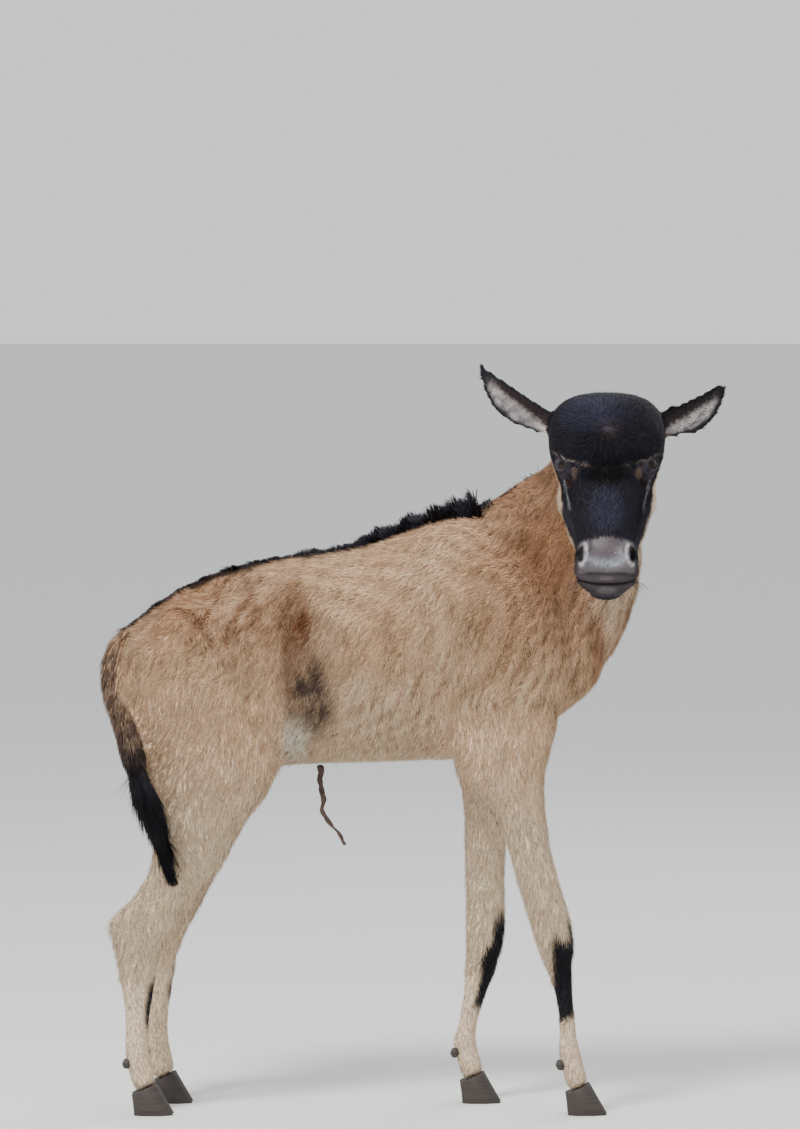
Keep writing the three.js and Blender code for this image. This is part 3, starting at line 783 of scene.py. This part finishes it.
class Hide:
    """The finished skin as triangles that tufts grow from."""

    def __init__(self, piece, shell, names, tint):
        mesh = piece.data
        mesh.calc_loop_triangles()
        count = len(mesh.loop_triangles)
        self.corners = np.empty((count, 3), dtype=np.int32)
        mesh.loop_triangles.foreach_get("vertices", self.corners.ravel())
        loops = np.empty((count, 3), dtype=np.int32)
        mesh.loop_triangles.foreach_get("loops", loops.ravel())
        uv = np.empty((len(mesh.loops), 2), dtype=np.float32)
        mesh.uv_layers["OFBake"].data.foreach_get("uv", uv.ravel())
        self.uv = uv[loops]
        self.points = shell.points
        self.normals = shell.normals
        self.tint = tint
        a, b, c = (self.points[self.corners[:, i]] for i in range(3))
        self.area = 0.5 * np.linalg.norm(np.cross(b - a, c - a), axis=1) / MM ** 2
        self.centre = (a + b + c) / 3
        self.owner = names[self.corners[:, 0]]

    def scatter(self, density):
        """Even random places on the triangles, `density` tufts for each square millimetre."""
        total = np.cumsum(self.area * density)
        count = int(total[-1])
        picks = (np.arange(count) + rng.random(count)) / count * total[-1]
        tri = np.searchsorted(total, picks).clip(0, len(total) - 1)
        a, b = rng.random((2, count))
        flip = a + b > 1
        a[flip], b[flip] = 1 - a[flip], 1 - b[flip]
        share = np.stack([1 - a - b, a, b], axis=1)[:, :, None]
        corner = self.corners[tri]
        root = np.sum(self.points[corner] * share, axis=1)
        normal = unit(np.sum(self.normals[corner] * share, axis=1))
        tint = np.sum(self.tint[corner] * share, axis=1)
        uv = np.sum(self.uv[tri] * share, axis=1)
        return Roots(root, normal, tint, uv, self.owner[tri])


class Roots:
    """Where tufts start: place, outward direction, colour, place on the unwrap, and flesh node."""

    def __init__(self, place, normal, tint, uv, names):
        self.place, self.normal, self.tint, self.uv, self.names = place, normal, tint, uv, names

    def __len__(self):
        return len(self.place)


def turned(lie, normal, angle):
    """The lie turned in the skin's plane, by radians."""
    side = np.cross(normal, lie)
    return unit(lie * np.cos(angle)[:, None] + side * np.sin(angle)[:, None])


def tufts(name, roots, lie, length, width, rise, tint, rings=2, sink=0.8, curl=0.0, dark=0.42, pale=1.15,
          droop=0.0):
    """One coat piece: a tapered three-sided lock at each root, its tip `rise` over the skin. All in mm."""
    n = len(roots)
    length, width, rise = (np.broadcast_to(np.asarray(v, float), (n,)) * MM for v in (length, width, rise))
    normal = roots.normal
    side = np.cross(normal, lie)
    bend = rng.normal(0, 1, n) * curl
    points, tone, patch = [], [], []
    for ring in range(rings + 1):
        t = ring / rings
        up = rise * (1 - (1 - t) ** 2) - sink * MM * (ring == 0)
        spine = (roots.place + lie * (length * t)[:, None] + normal * up[:, None]
                 + side * (bend * length * t * t)[:, None])
        spine[:, 2] -= droop * length * t * t
        # Each lock runs from `dark` at its root to `pale` at its tip; the darker roots are painted shade
        # deep in the coat
        tone.append(dark + (pale - dark) * t ** 0.8)
        if ring == rings:
            points.append(spine)
            patch.append((0.0, PATCH / 2))
            continue
        half = width * (0.5 if ring == 0 else 0.5 * (1 - 0.45 * t))
        points += [spine - side * half[:, None], spine + side * half[:, None],
                   spine + normal * (half * 0.4)[:, None]]
        reach = PATCH / 2 * (1 - t)
        patch += [(over, PATCH * t - PATCH / 2) for over in (-reach, reach, 0.0)]
    each = 3 * rings + 1
    verts = np.stack(points, axis=1).reshape(-1, 3)
    quads = [(3 * r + i, 3 * r + (i + 1) % 3, 3 * r + 3 + (i + 1) % 3, 3 * r + 3 + i)
             for r in range(rings - 1) for i in range(3)]
    last = 3 * (rings - 1)
    triangles = [(last + i, last + (i + 1) % 3, each - 1) for i in range(3)] + [(2, 1, 0)]
    start = np.arange(n)[:, None, None] * each
    corners = np.concatenate([(start + np.array(quads, dtype=int).reshape(1, -1, 4)).reshape(n, -1),
                              (start + np.array(triangles).reshape(1, -1, 3)).reshape(n, -1)], axis=1)
    sizes = np.tile([4] * len(quads) + [3] * len(triangles), n)
    mesh = bpy.data.meshes.new(name)
    mesh.vertices.add(len(verts))
    mesh.vertices.foreach_set("co", verts.astype(np.float32).ravel())
    mesh.loops.add(corners.size)
    mesh.loops.foreach_set("vertex_index", corners.ravel().astype(np.int32))
    mesh.polygons.add(len(sizes))
    mesh.polygons.foreach_set("loop_start", np.concatenate([[0], np.cumsum(sizes)[:-1]]).astype(np.int32))
    mesh.polygons.foreach_set("use_smooth", np.ones(len(sizes), dtype=bool))
    mesh.update(calc_edges=True)
    ring_tone = np.repeat(tone, [3] * rings + [1])
    colour = (tint[:, None, :] * ring_tone[None, :, None]).reshape(-1, 3)
    store(mesh, "tint", colour, "FLOAT_COLOR")
    uv = (roots.uv[:, None, :] + np.array(patch)[None, :, :]).reshape(-1, 2)
    layer = mesh.uv_layers.new(name="OFBake")
    layer.data.foreach_set("uv", uv[corners.ravel()].astype(np.float32).ravel())
    made = bpy.data.objects.new(name, mesh)
    bpy.context.scene.collection.objects.link(made)
    paint(made, HAIR)
    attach(made, "root")
    return made


def coat_pieces(hide_map):
    """The short coat in pieces by part of the body."""
    owner = hide_map.owner
    h = to_head(hide_map.centre)
    density = np.array([ROWS[name][4] for name in owner])
    density = np.where(eye_distance(h) < EYE_RADIUS + 0.6, 0, density)
    trunk = owner == "trunk"
    rump = hide_map.centre[:, 0] <= -110 * MM
    right = hide_map.centre[:, 1] < MIDDLE
    face = np.isin(owner, FACE)
    pieces = {
        "coat_flank_right": trunk & right & ~rump,
        "coat_rump_right": trunk & right & rump,
        "coat_flank_left": trunk & ~right & ~rump,
        "coat_rump_left": trunk & ~right & rump,
        "coat_neck": owner == "neck",
        "coat_foreleg_right": np.char.startswith(owner, "foreleg_right"),
        "coat_foreleg_left": np.char.startswith(owner, "foreleg_left"),
        "coat_hindleg_right": np.char.startswith(owner, "hindleg_right"),
        "coat_hindleg_left": np.char.startswith(owner, "hindleg_left"),
        "coat_face": face & (h[:, 2] > -48),
        "coat_cheeks": face & (h[:, 2] <= -48),
        "coat_ears": np.char.startswith(owner, "ear"),
        "coat_tail": np.char.startswith(owner, "tail"),
    }
    for name, where in pieces.items():
        grow(name, hide_map.scatter(density * where))


def strokes(points):
    """Light and dark dashes about 4 mm wide and 14 mm long, down and back as the hair lies; the dark dashes
    are painted shade in the gaps between clumps of hair.
    """
    along = unit(np.array((-0.35, 0, -0.94)))
    squeezed = points - 0.72 * (points @ along)[:, None] * along
    return ripple(squeezed, 0.0038, 41) + 0.3 * ripple(squeezed, 0.008, 42)


def grow(name, roots):
    """One piece of the short coat, its locks sized and turned by place and by chance."""
    n = len(roots)
    length, width, rise = np.array([ROWS[node][1:4] for node in roots.names]).T
    length = length * rng.uniform(0.65, 1.25, n)
    width = width * rng.uniform(0.6, 1.3, n)
    rise = rise * rng.uniform(0.4, 1.15, n)
    lie = laid(body_lie(roots.place, roots.names), roots.normal)
    x, _, z = to_body(roots.place).T
    # Locks stray singly, and in waves that grow into curls on the rump
    loose = np.where(np.isin(roots.names, ["trunk", "neck"]), 0.30, 0.20)
    wave = ripple(roots.place, 0.06, 11) * 0.22 + ripple(roots.place, 0.02, 12) * 0.16
    if "rump" in name:
        wave = wave * (1 + 2.4 * smooth_step(-x, 150, 260) * smooth_step(z, 500, 580))
    angle = rng.normal(0, 1, n) * loose + wave
    if name == "coat_tail":
        # Straight hair, none of it past the tail's tip
        angle = angle * 0.2
        length = np.minimum(length, np.maximum(z - 291, 2) / 0.95 + 5)
    if name in ("coat_face", "coat_cheeks"):
        # Longest on brow and forehead, shortest round the eyes and down the nose
        h = to_head(roots.place)
        angle = angle * 0.55
        brow = spot(h, (88, 0, 14), (14, 50, 24))
        forehead = spot(h, (40, 0, 12), (60, 66, 40))
        near = 1 - smooth_step(eye_distance(h), 15, 27)
        bridge = smooth_step(h[:, 0], 104, 130)
        length = length * (1 + 0.5 * forehead + 0.7 * brow) * (1 - 0.62 * near) * (1 - 0.35 * bridge)
        rise = rise * (1 + 0.5 * forehead + 0.9 * brow) * (1 - 0.5 * near) * (1 - 0.45 * bridge)
    if name == "coat_ears":
        angle = angle * 0.35
        rise = rise * 0.7
    lie = turned(lie, roots.normal, angle)
    # Each lock's own brightness, with dark dashes of painted shade between clumps: strong on the shoulder,
    # faint on legs and head
    leg = np.char.find(roots.names, "leg") >= 0
    contrast = np.where(leg, 0.14, 0.42 + 0.1 * smooth_step(x, 20, 120))
    contrast = np.where(roots.names == "head", 0.12, contrast)
    bright = rng.normal(1, 0.12, n) * (1 + strokes(roots.place) * contrast)
    bright = np.clip(np.where(rng.random(n) < 0.10 - 0.06 * leg, bright * 0.65, bright), 0.35, 1.5)
    # Dark locks, from painted shade and from darker hair alike, are redder, and each lock's warmth differs a
    # little
    gap = np.clip(1 - bright, 0, 0.6)[:, None] * np.array((0.0, 0.25, 0.45))
    tint = roots.tint * bright[:, None] * (1 - gap)
    warm = rng.normal(0, 0.05, n)[:, None] * np.array((1.0, 0.1, -0.9))
    tint = np.clip(tint * (1 + warm), 0.001, 1)
    tufts(name, roots, lie, length, width, rise, tint, rings=2 if name in ("coat_face", "coat_tail") else 1,
          curl=0.04 if name == "coat_tail" else 0.13)


# Eyes, horn, mane, tail and the small hairs
def wet_eye():
    # Cornea over a dark brown iris with a level slit pupil: wet, mirror smooth
    made, tree, shader = material("wet eye", Roughness=0.04, IOR=1.38)
    shader.inputs["Specular IOR Level"].default_value = 0.3
    across = node(tree, "Attribute", attribute_name="across")
    upward = node(tree, "Attribute", attribute_name="upward")
    flat = node(tree, "CombineXYZ", None, {"X": across.outputs["Fac"], "Y": upward.outputs["Fac"]})
    slit = node(tree, "VectorMath", {1: (1 / 0.46, 1 / 0.22, 0)}, {0: flat.outputs["Vector"]},
                operation="MULTIPLY")
    pupil = node(tree, "VectorMath", None, {0: slit.outputs["Vector"]}, operation="LENGTH")
    disc = node(tree, "VectorMath", None, {0: flat.outputs["Vector"]}, operation="LENGTH")
    fleck = node(tree, "TexNoise", {"Scale": 30.0, "Detail": 4.0}, {"Vector": flat.outputs["Vector"]})
    iris = node(tree, "Mix", {"A": (*shade("#120b09"), 1), "B": (*shade("#33241c"), 1)},
                {"Factor": fleck.outputs["Fac"]}, data_type="RGBA")
    iris_edge = node(tree, "MapRange", {"From Min": 0.66, "From Max": 0.74},
                     {"Value": disc.outputs["Value"]})
    white = node(tree, "Mix", {"B": (*shade("#2b2422"), 1)},
                 {"Factor": iris_edge.outputs["Result"], "A": iris.outputs[2]}, data_type="RGBA")
    pupil_edge = node(tree, "MapRange", {"From Min": 1.05, "From Max": 0.92},
                      {"Value": pupil.outputs["Value"]})
    eye = node(tree, "Mix", {"B": (*shade("#060508"), 1)},
               {"Factor": pupil_edge.outputs["Result"], "A": white.outputs[2]}, data_type="RGBA")
    tree.links.new(eye.outputs[2], shader.inputs["Base Color"])
    return made


def eyes():
    """Wet balls set deep in the orbits, with a low bulge for the cornea."""
    look = wet_eye()
    for name, side in (("eye_right", -1), ("eye_left", 1)):
        centre, gaze, _, _ = eye_frame(side)
        turn = Vector(unit(HEAD_AXES @ gaze)).to_track_quat("Z", "Y").to_matrix()
        bm = bmesh.new()
        bmesh.ops.create_uvsphere(bm, u_segments=48, v_segments=32, radius=1)
        flat = np.array([(v.co.x, v.co.y) for v in bm.verts])
        for vert in bm.verts:
            bulge = 0.06 * float(smooth_step(vert.co.z, 0.70, 0.95))
            vert.co = turn @ (vert.co * (1 + bulge) * (EYE_RADIUS - 0.2) * MM)
            vert.co += Vector(from_head([centre])[0])
        piece = finished(name + "_ball", bm)
        level = unit(np.array(turn.transposed() @ Vector((0, 0, 1)))[:2])
        store(piece.data, "upward", flat @ level)
        store(piece.data, "across", flat @ np.array((level[1], -level[0])))
        smooth(piece)
        paint(piece, look)
        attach(piece, "root")
        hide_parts(name)


def smooth(piece):
    piece.data.polygons.foreach_set("use_smooth", np.ones(len(piece.data.polygons), dtype=bool))


def seat(bm, mesh):
    """Moves a dewclaw in through the hair, onto the skin, and draws it to a blunt point."""
    tree = BVHTree.FromPolygons([v.co for v in mesh.vertices], [p.vertices for p in mesh.polygons])
    middle = sum((v.co for v in bm.verts), Vector()) / len(bm.verts)
    inward = (tree.find_nearest(middle)[0] - middle).normalized()
    for vert in bm.verts:
        outer = (middle - vert.co).dot(inward) / (8 * MM)
        narrow = 1 - 0.35 * min(max(outer, 0), 1)
        flat = vert.co - middle
        along = inward * flat.dot(inward)
        vert.co = middle + along + (flat - along) * narrow + inward * 4.2 * MM


def hooves():
    """Claws and dewclaws with softened edges."""
    horn = hoof_horn()
    for leg in LEGS:
        for part in ("hoof_outer", "hoof_inner", "dewclaw_outer", "dewclaw_inner"):
            name = f"{leg}_{part}"
            bm = merged_copy(name, 0)
            if part.startswith("dewclaw"):
                seat(bm, bpy.data.objects[leg + "_lower"].data)
            bmesh.ops.dissolve_limit(bm, angle_limit=math.radians(3), verts=bm.verts, edges=bm.edges)
            sharp = [e for e in bm.edges
                     if len(e.link_faces) == 2 and e.calc_face_angle() > math.radians(35)]
            bmesh.ops.bevel(bm, geom=sharp, offset=1.1 * MM, segments=2, profile=0.5, affect="EDGES",
                            material=-1, clamp_overlap=True)
            piece = finished(name + "_horn", bm)
            smooth(piece)
            paint(piece, horn)
            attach(piece, "root")
            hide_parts(name)


def dried_cord():
    # Dried navel cord: leathery, dark brown, twisted, with ridges along it
    made, tree, shader = material("dried navel cord", Roughness=0.7, IOR=1.45)
    place = node(tree, "TexCoord")
    grain = node(tree, "TexNoise", {"Scale": 300.0, "Detail": 4.0}, {"Vector": place.outputs["Object"]})
    grained(tree, shader, grain, "#211712", "#574236", 0.6)
    return made


def navel_cord():
    """The dried cord under the belly, its ridges twisted round it."""
    bm = merged_copy("navel_cord", 0)
    bmesh.ops.subdivide_edges(bm, edges=bm.edges, cuts=2, use_grid_fill=True, smooth=0.6)
    for vert in bm.verts:
        level = vert.co.z / MM
        middle_x = np.interp(level, [328, 337, 351, 363, 374, 388, 399, 436],
                             [-83.7, -87.7, -98.7, -108.7, -111.7, -109.7, -113.7, -113.7]) * MM
        turn = math.atan2(vert.co.y - MIDDLE, vert.co.x - middle_x)
        vert.co.x += 1.1 * MM * math.cos(2 * turn + level * 0.33)
        vert.co.y += 1.1 * MM * math.sin(2 * turn + level * 0.33)
    piece = finished("navel_cord_twist", bm)
    smooth(piece)
    paint(piece, dried_cord())
    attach(piece, "root")
    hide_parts("navel_cord")


def mane(hide_map):
    """Bristly tufts up the withers and nape, black with a violet cast, and short ones down the back."""
    owner = hide_map.owner
    near = np.zeros(len(owner))
    high = (hide_map.centre[:, 2] > 0.66) & np.isin(owner, ["trunk", "neck"])
    near[high] = distance_to(hide_map.centre[high], "mane", 0.02) < 0.0115
    x, y, z = to_body(hide_map.centre).T
    near = near * ~((x > 160) & (y < 34))
    back = (np.abs(y) < 9) & (z > 570) & (x > -366) & (x < -40) & (owner == "trunk")
    crest = [hide_map.scatter(0.62 * near), hide_map.scatter(0.5 * back)]
    roots = Roots(*(np.concatenate([getattr(part, key) for part in crest])
                    for key in ("place", "normal", "tint", "uv", "names")))
    n = len(roots)
    x, y, _ = to_body(roots.place).T
    height = np.interp(x, [-360, -120, -66, -30, 22, 62, 94], [6, 8, 11, 17, 22, 25, 32])
    height = np.where(roots.names == "neck", 7, height)
    height = np.where((x > 100) & (y < 34), 2.5, height)
    height = height * (0.80 + 0.34 * ripple(roots.place, 0.015, 31)) * rng.uniform(0.55, 1.08, n)
    lie = laid(np.tile((-1.0, 0.15, -0.1), (n, 1)), roots.normal)
    lie = turned(lie, roots.normal, 1.5 * ripple(roots.place, 0.016, 32) + rng.normal(0, 0.4, n))
    lean = 6 + 8 * ripple(roots.place, 0.017, 33) + rng.normal(0, 2.5, n)
    tint = np.array(shade("#1b1820")) * rng.uniform(0.6, 1.6, n)[:, None]
    piece = tufts("mane_hair", roots, lie, lean, rng.uniform(0.9, 1.9, n), height, tint, rings=3, curl=0.5,
                  dark=0.5, pale=1.2)
    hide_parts("mane")


def face_hairs():
    """Lashes over the eyes, whiskers on the lips and chin. Each hair: root, way, length, width, colour."""
    hairs = []
    for side in (-1, 1):
        centre, gaze, along, across = eye_frame(side)
        across = -across * np.sign(across[0])
        for turn in np.linspace(-0.8, 0.8, 22):
            ray = unit(gaze + along * 0.75 * math.sin(turn) + across * 0.42 * math.cos(turn))
            way = unit(gaze * 0.6 + across * 0.5 + along * 0.6 * turn)
            hairs.append((centre + ray * 14.6, way, 9, 0.55, "#0b0a0c"))
        for k in range(9):
            column, row = k % 3, k // 3
            start = np.array((228 - 5 * column, side * (26 + 4 * row), -76 - 5 * column))
            hairs.append((start, unit(np.array((0.5, side * 0.8, -0.35 + 0.2 * row))), 22, 0.45, "#4a4544"))
        for k in range(6):
            start = np.array((232, side * (4 + 5 * k), -96))
            hairs.append((start, unit(np.array((0.5, side * 0.15 * k, -0.85))), 15, 0.45, "#54504e"))
    starts, ways, lengths, widths, codes = zip(*hairs)
    n = len(hairs)
    way = np.array(ways) @ HEAD_AXES.T
    tint = np.array([shade(code) for code in codes])
    normal = unit(np.cross(way, (0.3, 0.2, 1.0)))
    roots = Roots(from_head(np.array(starts)), normal, tint, np.full((n, 2), 0.5), np.array(["head"] * n))
    length = np.array(lengths) * rng.uniform(0.8, 1.15, n)
    tufts("lashes_and_whiskers", roots, way, length, widths, 1.0, tint, rings=3, sink=0, dark=0.9, pale=1.0,
          droop=0.12)


def build():
    camera()
    studio()
    skin, shell = skin_piece()
    index, _ = nearest_nodes(shell.points, FLESH)
    names = np.array(FLESH)[index]
    tint, bare = body_markings(shell.points, names)
    # The skin in the gaps between locks is painted a little darker than the hair, as shade under the coat
    store(skin.data, "tint", tint * 0.8, "FLOAT_COLOR")
    store(skin.data, "bare", bare)
    paint(skin, hide())
    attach(skin, "root")
    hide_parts(*FLESH)
    hide_map = Hide(skin, shell, names, tint)
    coat_pieces(hide_map)
    mane(hide_map)
    eyes()
    hooves()
    navel_cord()
    face_hairs()


HAIR = coat_hair()
build()
